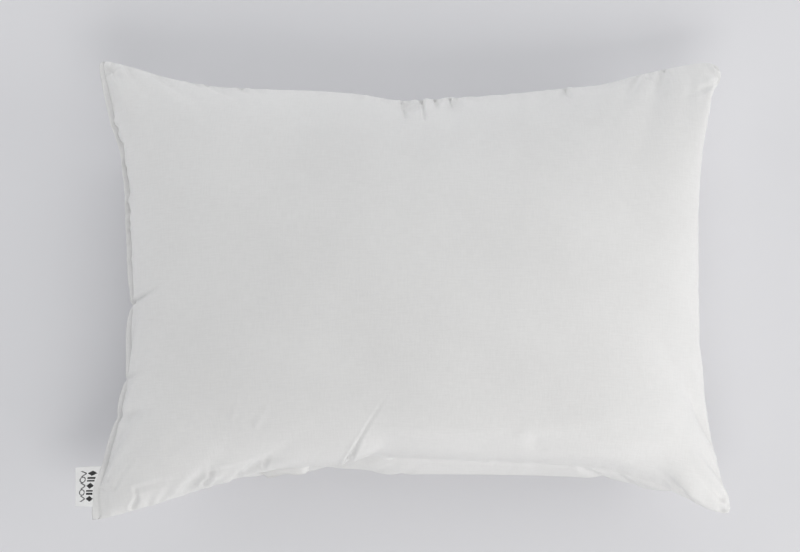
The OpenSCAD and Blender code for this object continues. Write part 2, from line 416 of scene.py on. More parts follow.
def relax(p, target, mask, steps, push, volume, anchor, levels):
    """Lets the filled casing find its shape over a number of small steps."""
    nx, ny = p.shape[1] - 1, p.shape[2] - 1
    dx = CUT_L / nx
    shift = rolled_up(flat_grid(nx, ny)[0])
    dy = CUT_W / ny * np.stack([1 - 0.012 * shift, 1 + 0.035 * shift])
    speed = np.zeros_like(p)
    hold = mask[..., None]
    press = fullness(nx, ny)
    gap = least_gap(nx, ny)
    stiff, squash, shear, bend = levels
    for _ in range(steps):
        n = normals_of(p) / (dx * CUT_W / ny)
        full = volume_of(p) / volume
        drive = push * min(1.0, max(-0.3, 30 * (1 - full)))
        sag = 1 + 0.4 * np.maximum(SAG_HEIGHT - p[..., 2:], 0) / SAG_HEIGHT
        speed += drive * n * press * sag
        speed *= CARRIED
        q = p + speed
        for _ in range(2):
            springs(q, dx, dy, stiff, squash, shear, bend)
            both = (q[0] + q[1]) / 2
            both += anchor * (target - both)
            q[0] = np.where(hold, both, q[0])
            q[1] = np.where(hold, both, q[1])
        np.maximum(q[..., 2], 0.0, out=q[..., 2])
        close = np.maximum(0.0, gap - (q[0, ..., 2] - q[1, ..., 2])) / 2
        close[mask] = 0.0
        q[0, ..., 2] += close
        q[1, ..., 2] -= close
        speed = q - p
        np.clip(speed, -FASTEST, FASTEST, out=speed)
        p = q
    return p


def finer(p):
    """The same shape on a grid twice as fine, through cubic steps."""

    def between(a, axis):
        a = np.moveaxis(a, axis, 0)
        n = len(a)
        out = np.empty((2 * n - 1,) + a.shape[1:])
        out[::2] = a
        before = np.concatenate([[2 * a[0] - a[1]], a[:-2]])
        after = np.concatenate([a[2:], [2 * a[-1] - a[-2]]])
        out[1::2] = (9 * (a[:-1] + a[1:]) - before - after) / 16
        return np.moveaxis(out, 0, axis)

    return between(between(p, 1), 2)


def simulate():
    """Both panels of the filled casing, found on coarse grids first."""
    rng = np.random.default_rng(11)
    p = None
    for cells, steps, push, anchor, levels in GRIDS:
        start, target, mask = start_shape(*cells)
        if p is None:
            p = start
            p[..., 2] += rng.standard_normal(p.shape[:3]) * 0.2 * ~mask
            p[1, ..., 2] = np.maximum(p[1, ..., 2], 0)
        else:
            p = finer(p)
        p = relax(p, target, mask, steps, push, VOLUME, anchor, levels)
    return p


def panel_lines(length, count, fine=()):
    """Where the finished panel's grid lines lie: closer together beside the seams and fine creases."""
    at = np.linspace(0, length, 4001)
    edge = np.minimum(at, length - at)
    density = 1 + 0.7 * (1 - smooth_step(edge, 30, 70)) + 0.5 * (1 - smooth_step(edge, 6, 12))
    for start, end, extra in fine:
        density += extra * smooth_step(at, start - 15, start) * (1 - smooth_step(at, end, end + 15))
    share = np.concatenate([[0], np.cumsum((density[1:] + density[:-1]) / 2)])
    return np.interp(np.linspace(0, share[-1], count + 1), share, at)


def resampled(a, axis, length, at):
    """The array at other places along one axis, through cubic steps."""
    a = np.moveaxis(a, axis, 0)
    n = len(a) - 1
    padded = np.concatenate([[2 * a[0] - a[1]], a, [2 * a[-1] - a[-2]]])
    t = np.asarray(at) / length * n
    i = np.minimum(t.astype(int), n - 1)
    f = (t - i).reshape((-1,) + (1,) * (a.ndim - 1))
    weights = ((-f + 2 * f**2 - f**3) / 2, (2 - 5 * f**2 + 3 * f**3) / 2,
               (f + 4 * f**2 - 3 * f**3) / 2, (-f**2 + f**3) / 2)
    out = sum(w * padded[i + k] for k, w in enumerate(weights))
    return np.moveaxis(out, 0, axis)


def blurred(p, spread, dx, dy):
    """The panels with everything shorter than the spread smoothed out."""
    for axis, step in ((1, dx), (2, dy)):
        reach = int(math.ceil(2.5 * spread / step))
        a = np.moveaxis(p, axis, 0)
        before = 2 * a[0] - a[1:reach + 1][::-1]
        after = 2 * a[-1] - a[-reach - 1:-1][::-1]
        wide = np.concatenate([before, a, after])
        weights = np.exp(-0.5 * (np.arange(-reach, reach + 1) * step / spread) ** 2)
        weights /= weights.sum()
        p = np.moveaxis(sum(w * wide[k:k + len(a)] for k, w in enumerate(weights)), 0, axis)
    return p


def eased(p):
    """Away from the seams the filling holds the cloth smooth, so long folds die out there."""
    nx, ny = p.shape[1] - 1, p.shape[2] - 1
    share = (0.8 * smooth_step(to_edge(*flat_grid(nx, ny)), 12, 62))[None, ..., None]
    soft = blurred(p, 20.0, CUT_L / nx, CUT_W / ny)
    p = (1 - share) * p + share * soft
    p[..., 2] = np.maximum(p[..., 2], 0.0)
    return p


def beyond(far, keep):
    """How far to draw cloth back that hangs beyond the seam by a distance, keeping a share of it."""
    soft = 2.0
    return (1 - keep) * soft * np.log1p(np.exp(np.clip(far / soft, -30, 30)))


# How far up the front from the rolled seam the cloth is rounded off, and by how much it swells there
SHOULDER, SWELL = 90.0, 8.0
# How close to a seam the panels are left where the simulation put them
BY_SEAM = 4.0


def firm_at(y):
    """From 0 to 1, where the closing side's flange stands up firmly in small waves."""
    return smooth_step(y, 262, 300) * (1 - smooth_step(y, 455, 480))


def tucked(p):
    """Sets how each panel stands off its seams: drawn back to show the seam, or rolled over it."""
    nx, ny = p.shape[1] - 1, p.shape[2] - 1
    x, y = flat_grid(nx, ny)
    p = p.copy()
    front, back = p
    rolled = rolled_up(x)
    off_closing, off_far = 1 - bell(x, 0, BY_SEAM), 1 - bell(x, CUT_L, BY_SEAM)
    off_front, off_back = 1 - bell(y, 0, BY_SEAM), 1 - bell(y, CUT_W, BY_SEAM)
    ditch = (1.0 - 1.9 * firm_at(y)) * bell(x, 6, 6)
    front[..., 0] += (beyond(front[:1, :, 0] - front[..., 0], 0.0) + ditch) * off_closing
    front[..., 0] -= beyond(front[..., 0] - front[-1:, :, 0], 0.35) * off_far
    front[..., 1] += beyond(front[:, :1, 1] - front[..., 1], 0.6 * (1 - rolled)) * off_front
    share = y / SHOULDER
    top = front[:, int(round(SHOULDER / CUT_W * ny))][:, None]
    chord = top - front[:, :1]
    swell = unit(np.cross([1.0, 0.0, 0.0], chord))
    round_off = front[:, :1] + chord * share[..., None]
    round_off = round_off + swell * (SWELL * np.sin(math.pi * share))[..., None]
    weight = (0.9 * rolled * (1 - smooth_step(share, 0.6, 1.0)))[..., None]
    front[:] = (1 - weight) * front + weight * round_off
    front[..., 1] -= 0.5 * rolled * bell(y, 0, 6) * off_front
    back[..., 1] -= (15 * rolled + 11 * half_rolled(x)) * bell(y, 48, 22) * off_front
    back[..., 1] += (4 * rolled + 2.5 * half_rolled(x)) * bell(y, 8, 7) * off_front
    front[..., 1] -= beyond(front[..., 1] - front[:, -1:, 1], 0.5) * off_back
    return p


SHAPE = tucked(eased(simulate()))
CELLS = ((350, 244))
LINES_X = panel_lines(CUT_L, CELLS[0], [(270, 400, 0.9)])
LINES_Y = panel_lines(CUT_W, CELLS[1])
SHAPE = resampled(resampled(SHAPE, 1, CUT_L, LINES_X), 2, CUT_W, LINES_Y)
SHAPE[..., 2] = np.maximum(SHAPE[..., 2], 0.0)

# ---- the seam's own frame


def side_frames(line, outward):
    """Along a run of seam points: the direction out of the casing, and the one up from it."""
    ahead = np.gradient(line, axis=0)
    for _ in range(12):
        ahead[1:-1] = (ahead[:-2] + 2 * ahead[1:-1] + ahead[2:]) / 4
    out = np.cross(ahead, [0.0, 0.0, 1.0])
    out = unit(out * np.sign((out * outward).sum(1))[:, None])
    up = np.cross(out, unit(ahead))
    up *= np.sign(up[:, 2])[:, None]
    return out, up


# How far in from the seam the panels are measured, for the way that the allowance leans
LEAN_REACH = 12.0


class Seam:
    """The casing's rim as one loop, anticlockwise from the closing side's front corner."""

    def __init__(self, panels):
        nx, ny = panels.shape[1] - 1, panels.shape[2] - 1
        rim = (panels[0] + panels[1]) / 2
        place = np.zeros((nx + 1, ny + 1, 3))
        out = np.zeros_like(place)
        up = np.zeros_like(place)
        whole = slice(None)
        for key, way in (((whole, 0), (0, -1, 0)), ((whole, -1), (0, 1, 0)), ((-1, whole), (1, 0, 0))):
            o, u = side_frames(rim[key], way)
            out[key] += o
            up[key] += u
            place[key] = rim[key]
        place[0] = rim[0]
        out[0], up[0] = side_frames(rim[0], (-1, 0, 0))
        self.i, self.j = rim_loop(nx, ny)
        self.place, self.out, self.up = (a[self.i, self.j] for a in (place, unit(out), unit(up)))
        self.closing = self.i == 0
        self.nx, self.ny = nx, ny
        self.cut = np.stack([LINES_X[self.i], LINES_Y[self.j]], axis=1)
        i, j = (np.clip(at, *np.searchsorted(lines, (LEAN_REACH, lines[-1] - LEAN_REACH)))
                for at, lines in ((self.i, LINES_X), (self.j, LINES_Y)))
        front, back = panels[0, i, j], panels[1, i, j]
        self.inner = self.calmed((front + back) / 2 - self.place - self.out)
        across = self.calmed(front - back)
        self.across = self.calmed(across - (across * self.inner).sum(1)[:, None] * self.inner)

    @staticmethod
    def calmed(ways):
        """Directions round the loop, smoothed along it and of unit length."""
        for _ in range(8):
            ways = (np.roll(ways, 1, axis=0) + 2 * ways + np.roll(ways, -1, axis=0)) / 4
        return unit(ways)

    def run(self, closing):
        """The closing side, or the three sewn sides, as arrays of place, out and up.

        On the sewn sides out and up lean with the panels, so that steps inwards stay between them.
        """
        if closing:
            order = np.nonzero(self.closing)[0]
            order = order[np.argsort(self.j[order])]
            return self.place[order], self.out[order], self.up[order]
        order = np.nonzero(~self.closing)[0]
        return self.place[order], -self.inner[order], self.across[order]


def along(seam_run, spacing, end):
    """Evenly spaced places along a run of seam, short of both ends, with their frames."""
    place, out, up = seam_run
    run = run_of(place)
    count = int((run[-1] - 2 * end) / spacing)
    at = end + np.arange(count + 1) * (run[-1] - 2 * end) / count
    return [read_off(at, run, a) for a in (place, out, up)] + [at]


# ---- creases and fullness

# Soft creases pressed into the front, or ridges where the depth is below 0, in plan: points, half
# width, depth at the start and end
CREASES = [
    ([(331, 223), (312, 213), (288, 203)], 5, 2.6, 0.0),
    ([(273, 236), (281, 222)], 2.2, 1.6, 0.3),
    ([(-323, 235), (-316, 227), (-309, 216)], 5.5, 4.2, 0.4),
    ([(-326, 231), (-316, 236), (-306, 237)], 2.4, 1.6, 0.2),
    ([(-290, -19), (-278, -15), (-252, -2)], 3, 3.4, 0.0),
    ([(-268, -40), (-244, -33)], 3, 0.9, 0.2),
    ([(-294, -97), (-284, -94), (-270, -90)], 3, 1.6, 0.0),
    ([(-310, -212), (-302, -198), (-288, -181)], 2.6, 1.5, 0.2),
    ([(-318, -203), (-311, -193)], 2.4, 1.4, 0.2),
    ([(-325, -212), (-317, -216)], 2.2, 1.2, 0.2),
    ([(-300, -138), (-280, -132), (-254, -121)], 8, 2.8, 0.0),
    ([(-308, -188), (-290, -172), (-262, -152)], 9, 1.5, 0.0),
    ([(-250, -172), (-232, -150), (-222, -128)], 8, 0.8, 0.0),
    ([(-183, -142), (-174, -122)], 4, -0.8, 0.0),
    ([(-158, -150), (-141, -120)], 4.5, -1.0, 0.0),
    ([(-293, -232), (-287, -222), (-289, -211)], 3, 3.2, 0.6),
    ([(-286, -213), (-262, -207), (-238, -202)], 4, 1.4, 0.2),
    ([(-216, -209), (-209, -201), (-208, -191)], 3, 3.0, 0.6),
    ([(-180, -199), (-178, -192)], 2.4, 1.6, 0.3),
    ([(-152, -190), (-147, -180)], 2.6, 2.2, 0.4),
    ([(-208, -197), (-176, -190), (-150, -184), (-90, -178)], 4, 1.4, 0.1),
    ([(-69, -191), (-61, -179), (-51, -163)], 3.2, 5.4, 0.0),
    ([(-61, -179), (-44, -150), (-14, -106)], 2.2, 1.3, 0.0),
    ([(-9, 204), (-8, 192), (-5, 174)], 2.4, 3.8, 1.0),
    ([(11, 204), (13, 190), (15, 172)], 2.2, 3.6, 1.0),
    ([(26, 205), (28, 188)], 2.0, 2.8, 0.7),
    ([(42, 206), (44, 191)], 2.0, 2.4, 0.5),
    ([(128, -166), (210, -158), (292, -140)], 12, 1.6, 0.2),
    ([(326, -222), (303, -202)], 5, 2.4, 0.2),
    ([(-219, 218), (-216, 208)], 3, 1.6, 0.2),
    ([(-182, 216), (-170, 202)], 3, 1.6, 0.2),
    ([(166, 214), (169, 204), (177, 192)], 2.4, 2.6, 0.2),
    ([(252, 226), (262, 221)], 2.4, 1.2, 0.3),
]


def press_creases(front, normals):
    """Presses the creases into the front, with soft lips beside the deeper ones."""
    x, y = front[..., 0], front[..., 1]
    drop = np.zeros_like(x)
    for points, width, first, last in CREASES:
        line = catmull([(px, py, 0) for px, py in points], 10)[:, :2]
        run = run_of(line)
        lo, hi = line.min(0) - 4 * width, line.max(0) + 4 * width
        near = (x > lo[0]) & (x < hi[0]) & (y > lo[1]) & (y < hi[1])
        spots = np.stack([x[near], y[near]], axis=1)
        best = np.full(len(spots), 1e9)
        share = np.zeros(len(spots))
        for k in range(len(line) - 1):
            a, d = line[k], line[k + 1] - line[k]
            t = np.clip(((spots - a) @ d) / (d @ d), 0, 1)
            far = np.linalg.norm(spots - a - t[:, None] * d, axis=1)
            closer = far < best
            best[closer] = far[closer]
            share[closer] = ((run[k] + t * (run[k + 1] - run[k])) / run[-1])[closer]
        depth = first + (last - first) * share
        profile = 1 / np.cosh(1.6 * best / width) ** 1.5
        lips = 0.35 * np.exp(-0.5 * ((best - 1.3 * width) / (0.5 * width)) ** 2)
        drop[near] += depth * (profile - lips)
    front -= normals * drop[..., None]


def puckers(at, length, wave, seed):
    """Uneven small gathers at places along a seam, from about -1 to 1."""
    step = 0.5
    count = int(length / step) + 1
    rows = smooth_noise((count, 3), 0.5 * wave / step, seed, 1.6)[:, 1]
    strength = 0.3 + 0.7 * np.clip(0.5 + smooth_noise((count, 3), 5 * wave / step, seed + 1)[:, 1], 0, 1)
    return np.interp(at, np.arange(count) * step, rows * strength)


def finish_panel(p, side):
    """Adds what is finer than the simulation: the filling's unevenness, gathers and creases."""
    n = unit(normals_of(np.stack([p, p]))[0 if side > 0 else 1])
    x, y = LINES_X[:, None], LINES_Y[None, :]
    inside = 1 - bell(to_edge(x, y), 0, 40)
    noise_grid = (140, 101)
    hills = smooth_noise(noise_grid, 11, 31 + side)
    bumps = smooth_noise(noise_grid, 3.4, 41 + side)
    uneven = 1.1 * hills + 0.3 * bumps
    lift = resampled(resampled(uneven, 0, CUT_L, LINES_X), 1, CUT_W, LINES_Y) * inside
    fade = 6.0
    for row, far in ((puckers(LINES_X, CUT_L, 11, 51)[:, None], y),
                     (puckers(LINES_X, CUT_L, 11, 53)[:, None], CUT_W - y),
                     (1.5 * flange_shape(LINES_Y)[0][None, :], x),
                     (puckers(LINES_Y, CUT_W, 12, 57)[None, :], CUT_L - x)):
        lift = lift + 0.6 * row * (far / fade) * np.exp(1 - far / fade)
    flat = p[..., 2] < 0.02
    p = p + n * lift[..., None]
    if side > 0:
        press_creases(p, n)
    else:
        p[..., 2] = np.where(flat, 0.0, np.maximum(p[..., 2], 0.0))
    return p


# ---- mesh helpers


def mesh_object(name, points, faces, cut=None):
    """A smooth mesh from points in mm, with each point's place on the flat cloth."""
    mesh = bpy.data.meshes.new(name)
    mesh.from_pydata((np.asarray(points) * MM).tolist(), [], [list(map(int, f)) for f in faces])
    mesh.shade_smooth()
    if cut is not None:
        layer = mesh.attributes.new("cut", "FLOAT_VECTOR", "POINT")
        flat = np.zeros((len(points), 3))
        flat[:, :cut.shape[1]] = cut * MM
        layer.data.foreach_set("vector", flat.ravel())
    o = bpy.data.objects.new(name, mesh)
    bpy.context.scene.collection.objects.link(o)
    return o


def grid_quads(nx, ny, base=0):
    index = base + np.arange((nx + 1) * (ny + 1)).reshape(nx + 1, ny + 1)
    return np.stack([index[:-1, :-1], index[1:, :-1], index[1:, 1:], index[:-1, 1:]], -1).reshape(-1, 4)


def loop_quads(one, two):
    return np.stack([one, two, np.roll(two, -1), np.roll(one, -1)], -1)


def closed_quads(nx, ny):
    """The faces of a closed form whose two sides are grids, one after the other, joined at the rim."""
    count = (nx + 1) * (ny + 1)
    rim = rim_index(nx, ny)
    return np.vstack([grid_quads(nx, ny), grid_quads(nx, ny, count)[:, ::-1], loop_quads(rim, rim + count)])


def stand_in(o, cad_nodes, slot_name, *materials):
    """Gives a piece its materials, and puts it in the place of its CAD nodes."""
    for material in materials:
        o.data.materials.append(material)
    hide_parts(*cad_nodes)


def tube(path, radius, sides):
    """A capped tube along a path: points, faces, and each point's distance along it and round it."""
    path = np.asarray(path, float)
    ahead = unit(np.gradient(path, axis=0))
    across = unit(np.cross(ahead, [0.03, 0.02, 1.0]))
    over = np.cross(across, ahead)
    turn = np.arange(sides) * 2 * math.pi / sides
    ring = across[:, None] * np.cos(turn)[None, :, None] + over[:, None] * np.sin(turn)[None, :, None]
    points = (path[:, None] + radius * ring).reshape(-1, 3)
    k = np.arange(len(path) - 1)[:, None] * sides
    s = np.arange(sides)[None, :]
    t = (s + 1) % sides
    faces = np.stack([k + s, k + t, k + sides + t, k + sides + s], -1).reshape(-1, 4).tolist()
    last = (len(path) - 1) * sides
    faces.append(list(range(sides - 1, -1, -1)))
    faces.append([last + q for q in range(sides)])
    cut = np.stack([np.repeat(run_of(path), sides), np.tile(turn / (2 * math.pi), len(path))], axis=1)
    return points, faces, cut


# ---- casing panels

# How far the closing side's edge stands out of the casing
FLANGE = 6.0
# The edge of a panel beyond the stitch line, as steps out of the casing and up from the seam
FLANGE_PATH = [
    (0.0, 0.2), (0.8, 0.42), (2.2, 0.74), (4.0, 0.82), (5.3, 0.66), (5.95, 0.34), (5.5, 0.1),
    (3.2, 0.06), (-2.0, 0.06), (-6.0, 0.06),
]
# The same along the three sewn sides, where the allowance is turned inside
ALLOWANCE_PATH = [
    (0.0, 0.0), (-0.3, 0.05), (-0.8, 0.12), (-1.6, 0.17), (-3.0, 0.22), (-4.5, 0.25),
    (-6.0, 0.27), (-7.5, 0.28), (-9.0, 0.3), (-10.0, 0.3),
]
# Nicks in the closing seam's edge, where a crease runs in: place along it, depth, spread
NICKS = [(229, 3.4, 2.6), (150, 2.0, 3.0), (108, 1.6, 4.0)]


def flange_shape(at):
    """At places along the closing side: how the flange waves, leans down, its width and its fullness."""
    firm = firm_at(at)
    wave = puckers(at, CUT_W, 8, 61) * (0.35 + 1.6 * firm)
    lean = 0.38 * smooth_step(at, 75, 130) * (1 - 0.5 * smooth_step(at, 150, 250)) * (1 - firm)
    lean = lean - 0.12 * firm
    width = FLANGE + 0.45 * puckers(at, CUT_W, 17, 63) + 1.4 * (1 - smooth_step(at, 6, 42))
    for place, depth, spread in NICKS:
        width = width - depth * np.exp(-0.5 * ((at - place) / spread) ** 2)
    corner = np.clip((CUT_W - at) / 5, 0, 1)
    width = width * np.sqrt(1 - (1 - corner) ** 2 * 0.8)
    return wave, lean, width, firm


def rim_rings(seam, side):
    """The rings of a panel's edge, from the seam line on, and the cloth's length to each."""
    wave, lean, width, firm = flange_shape(seam.cut[:, 1])
    calm = np.clip(np.minimum(seam.cut[:, 1], CUT_W - seam.cut[:, 1]) / 12, 0, 1)
    rings, lengths = [], []
    run = np.zeros(len(seam.place))
    before = None
    for (fa, fb), (aa, ab) in zip(FLANGE_PATH, ALLOWANCE_PATH):
        reach = min(max(fa / FLANGE, 0.0), 1.0)
        outward = reach * width
        lift = 0.95 * wave * reach**0.7 * calm - lean * outward * reach
        open_edge = (seam.place + seam.out * outward[:, None] + seam.inner * max(-fa, 0.0)
                     + seam.up * (side * fb * (1 + 0.8 * firm) + lift)[:, None])
        turned_in = seam.place - seam.inner * aa + seam.across * (side * ab)
        ring = np.where(seam.closing[:, None], open_edge, turned_in)
        if before is not None:
            run = run + np.linalg.norm(ring - before, axis=1)
        before = ring
        rings.append(ring)
        lengths.append(run.copy())
    return rings, lengths


def fold_sharp(mesh, seam):
    """Marks the fold at the sewn sides' seams, where the cloth turns back into the casing."""
    rim = rim_index(seam.nx, seam.ny)
    pairs = np.sort(np.stack([rim, np.roll(rim, -1)], axis=1), axis=1)
    pairs = pairs[~(seam.closing & np.roll(seam.closing, -1))]
    ends = np.empty(2 * len(mesh.edges), np.int32)
    mesh.edges.foreach_get("vertices", ends)
    ends = np.sort(ends.reshape(-1, 2), axis=1).astype(np.int64)
    many = len(mesh.vertices)
    fold = np.isin(ends[:, 0] * many + ends[:, 1], pairs[:, 0] * many + pairs[:, 1])
    layer = mesh.attributes.get("sharp_edge") or mesh.attributes.new("sharp_edge", "BOOLEAN", "EDGE")
    layer.data.foreach_set("value", fold)


def make_panel(name, cad_node, p, seam, side, material):
    """A panel with its edge beyond the stitch line, turned in or, at the closing side, standing out."""
    nx, ny = seam.nx, seam.ny
    p = p.copy()
    rings, lengths = rim_rings(seam, side)
    p[seam.i, seam.j] = rings[0]
    points = [p.reshape(-1, 3)]
    cut = [np.stack(np.meshgrid(LINES_X, LINES_Y, indexing="ij"), -1).reshape(-1, 2)]
    quads = grid_quads(nx, ny)
    faces = [quads if side > 0 else quads[:, ::-1]]
    way = np.stack([np.where(seam.i == 0, -1, np.where(seam.i == nx, 1, 0)),
                    np.where(seam.i == 0, 0, np.where(seam.j == 0, -1, np.where(seam.j == ny, 1, 0)))], 1)
    inner = rim_index(nx, ny)
    base = (nx + 1) * (ny + 1)
    for ring, length in zip(rings[1:], lengths[1:]):
        points.append(ring)
        cut.append(seam.cut + way * length[:, None])
        outer = base + np.arange(len(ring))
        strip = loop_quads(inner, outer)
        faces.append(strip if side > 0 else strip[:, ::-1])
        inner = outer
        base += len(ring)
    o = mesh_object(name, np.vstack(points), np.vstack(faces), np.vstack(cut))
    fold_sharp(o.data, seam)
    stand_in(o, [cad_node], "casing_cloth", material)
    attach(o, "casing")


# ---- materials


def node(tree, kind, **values):
    n = tree.nodes.new(kind)
    for key, value in values.items():
        setattr(n, key, value)
    return n


def math_node(tree, operation, a, b=None):
    n = node(tree, "ShaderNodeMath", operation=operation)
    for socket, value in ((0, a), (1, b)):
        if value is None:
            continue
        if isinstance(value, (int, float)):
            n.inputs[socket].default_value = value
        else:
            tree.links.new(value, n.inputs[socket])
    return n.outputs[0]


def wave_node(tree, along_it, pitch):
    return math_node(tree, "SINE", math_node(tree, "MULTIPLY", along_it, 2 * math.pi / pitch))


def cut_place(tree):
    """The place on the flat cloth, in metres, as separate outputs and as one vector."""
    where = node(tree, "ShaderNodeAttribute", attribute_name="cut")
    parts = node(tree, "ShaderNodeSeparateXYZ")
    tree.links.new(where.outputs["Vector"], parts.inputs[0])
    return where.outputs["Vector"], parts.outputs[0], parts.outputs[1]


def scaled_noise(tree, vector, scale, detail=2.0, roughness=0.5):
    stretch = node(tree, "ShaderNodeMapping")
    stretch.inputs["Scale"].default_value = scale
    tree.links.new(vector, stretch.inputs["Vector"])
    noise = node(tree, "ShaderNodeTexNoise")
    noise.inputs["Scale"].default_value = 1.0
    noise.inputs["Detail"].default_value = detail
    noise.inputs["Roughness"].default_value = roughness
    tree.links.new(stretch.outputs[0], noise.inputs["Vector"])
    return noise.outputs["Fac"]


def tint(tree, factor, low, high, dark, light):
    ramp = node(tree, "ShaderNodeValToRGB")
    ramp.color_ramp.elements[0].position = low
    ramp.color_ramp.elements[1].position = high
    ramp.color_ramp.elements[0].color = (*dark, 1)
    ramp.color_ramp.elements[1].color = (*light, 1)
    tree.links.new(factor, ramp.inputs[0])
    return ramp.outputs[0]


def bump(tree, height, distance, strength=1.0, below=None):
    n = node(tree, "ShaderNodeBump")
    n.inputs["Strength"].default_value = strength
    n.inputs["Distance"].default_value = distance
    tree.links.new(height, n.inputs["Height"])
    if below is not None:
        tree.links.new(below, n.inputs["Normal"])
    return n.outputs[0]


def finished(tree, shader, colour, normal, roughness, sheen):
    """Connects a material's colour and bumps, and sets how rough and how fuzzy it is."""
    tree.links.new(colour, shader.inputs["Base Color"])
    tree.links.new(normal, shader.inputs["Normal"])
    shader.inputs["Roughness"].default_value = roughness
    shader.inputs["Sheen Weight"].default_value = sheen


def percale():
    material, tree, shader = new_material("cotton_percale")
    vector, x, y = cut_place(tree)
    pitch = 0.00045
    weave = math_node(tree, "MULTIPLY", wave_node(tree, x, pitch), wave_node(tree, y, pitch))
    slub_x = scaled_noise(tree, vector, (70, 620, 1), 3.0, 0.6)
    slub_y = scaled_noise(tree, vector, (620, 70, 1), 3.0, 0.6)
    slubs = math_node(tree, "ADD", slub_x, slub_y)
    crumple = scaled_noise(tree, vector, (70, 70, 1), 3.0, 0.55)
    cloud = scaled_noise(tree, vector, (9, 9, 1), 2.0, 0.5)
    shade = math_node(tree, "ADD", math_node(tree, "MULTIPLY", cloud, 0.5),
                      math_node(tree, "MULTIPLY", slubs, 0.5))
    colour = tint(tree, shade, 0.6, 0.9, (0.798, 0.795, 0.791), (0.842, 0.84, 0.836))
    rough = node(tree, "ShaderNodeMapRange")
    rough.inputs["To Min"].default_value = 0.82
    rough.inputs["To Max"].default_value = 0.95
    tree.links.new(crumple, rough.inputs["Value"])
    tree.links.new(rough.outputs[0], shader.inputs["Roughness"])
    shader.inputs["Sheen Roughness"].default_value = 0.4
    shader.inputs["Specular IOR Level"].default_value = 0.25
    soft = bump(tree, crumple, 0.0009, 0.35)
    streaks = bump(tree, slubs, 0.00018, 0.8, soft)
    fine = bump(tree, weave, 0.00005, 0.6, streaks)
    finished(tree, shader, colour, fine, 0.9, 0.6)
    return material


def yarn(name, colour, twist=0.0011):
    """Twisted thread: slanting plies along its length, with a little fuzz."""
    material, tree, shader = new_material(name)
    vector, run, round_ = cut_place(tree)
    plies = 2
    turned = math_node(tree, "MULTIPLY", round_, plies * 2 * math.pi / MM)
    ridges = math_node(tree, "SINE", math_node(
        tree, "ADD", math_node(tree, "MULTIPLY", run, 2 * math.pi / twist), turned))
    fuzz = scaled_noise(tree, vector, (4000, 4000, 1), 2.0, 0.6)
    shade = math_node(tree, "ADD", math_node(tree, "MULTIPLY", ridges, 0.2), fuzz)
    low = tuple(c * 0.86 for c in colour)
    colour = tint(tree, shade, 0.3, 0.75, low, colour)
    finished(tree, shader, colour, bump(tree, shade, 0.00006, 0.8), 0.6, 0.2)
    return material


def ribbon(name, colour, rib=0.0004):
    """Woven satin ribbon: fine ribs along it and a faint cross weave."""
    material, tree, shader = new_material(name)
    vector, x, y = cut_place(tree)
    picks = math_node(tree, "MULTIPLY", wave_node(tree, x, 1.7 * rib), 0.5)
    weave = math_node(tree, "ADD", wave_node(tree, y, rib), picks)
    cloud = scaled_noise(tree, vector, (120, 120, 1), 3.0, 0.6)
    low = tuple(c * 0.96 for c in colour)
    colour = tint(tree, cloud, 0.35, 0.7, low, colour)
    finished(tree, shader, colour, bump(tree, weave, 0.00005, 0.6), 0.55, 0.15)
    return material


def fibre():
    material, tree, shader = new_material("fibre_filling")
    where = node(tree, "ShaderNodeTexCoord").outputs["Object"]
    clumps = scaled_noise(tree, where, (45, 45, 45), 4.0, 0.6)
    hairs = scaled_noise(tree, where, (700, 700, 150), 3.0, 0.7)
    both = math_node(tree, "ADD", clumps, math_node(tree, "MULTIPLY", hairs, 0.4))
    colour = tint(tree, both, 0.4, 0.95, (0.78, 0.78, 0.77), (0.9, 0.9, 0.89))
    finished(tree, shader, colour, bump(tree, both, 0.003, 0.8), 1.0, 0.4)
    return material


COTTON = percale()
THREAD = yarn("sewing_thread", (0.86, 0.86, 0.86))
RIBBON = ribbon("label_ribbon", (0.95, 0.95, 0.95))
DARK_YARN = ribbon("dark_yarn", (0.016, 0.016, 0.018))
GREY_YARN = ribbon("grey_yarn", (0.09, 0.09, 0.095))
SATIN = ribbon("care_satin", (0.82, 0.82, 0.83), 0.0003)
FIBRE = fibre()

# ---- build the casing

SEAM = Seam(SHAPE)
FRONT = finish_panel(SHAPE[0], 1)
BACK = finish_panel(SHAPE[1], -1)
make_panel("front_panel_cloth", "front_panel", FRONT, SEAM, 1, COTTON)
make_panel("back_panel_cloth", "back_panel", BACK, SEAM, -1, COTTON)

# ---- threads


def thread(name, cad_node, path, radius, sides):
    points, faces, cut = tube(path, radius, sides)
    made = mesh_object(name, points, faces, cut)
    stand_in(made, [cad_node], "sewing_thread", THREAD)
    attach(made, "casing")


def stitched(name, cad_node, seam_run, side, out, pitch, rise, radius, end):
    """A lockstitch thread's own side: it lies on the cloth and dips at the end of every stitch."""
    shares = np.array([0.0, 0.1, 0.28, 0.72, 0.9])
    rises = np.array([0.25, 0.8, 1.0, 1.0, 0.8])
    place, o, u, at = along(seam_run, pitch, end)
    fine = (np.arange(len(at) - 1)[:, None] + shares[None]).ravel()
    heights = np.tile(rises, len(at) - 1) * rise
    fine = np.append(fine, len(at) - 1.0)
    heights = np.append(heights, rises[0] * rise)
    index = np.arange(len(at))
    centre, outs, ups = (read_off(fine, index, a) for a in (place, o, u))
    path = centre + outs * out + ups * (side * heights)[:, None]
    thread(name, cad_node, path, radius, 6)


CLOSING = SEAM.run(True)
SEWN = SEAM.run(False)
# Each seam with the thread under it, and both threads' place outwards, stitch, rise, radius and end
for side_name, seam_run, under, sizes in (
        ("closing", CLOSING, "bobbin", (0.15, 3.2, 0.72, 0.24, 1.5)),
        ("perimeter", SEWN, "looper", (-2.5, 2.6, 0.3, 0.13, 8))):
    for role, face in (("needle", 1), (under, -1)):
        name = "%s_%s" % (side_name, role)
        stitched(name + "_stitches", name + "_thread", seam_run, face, *sizes)


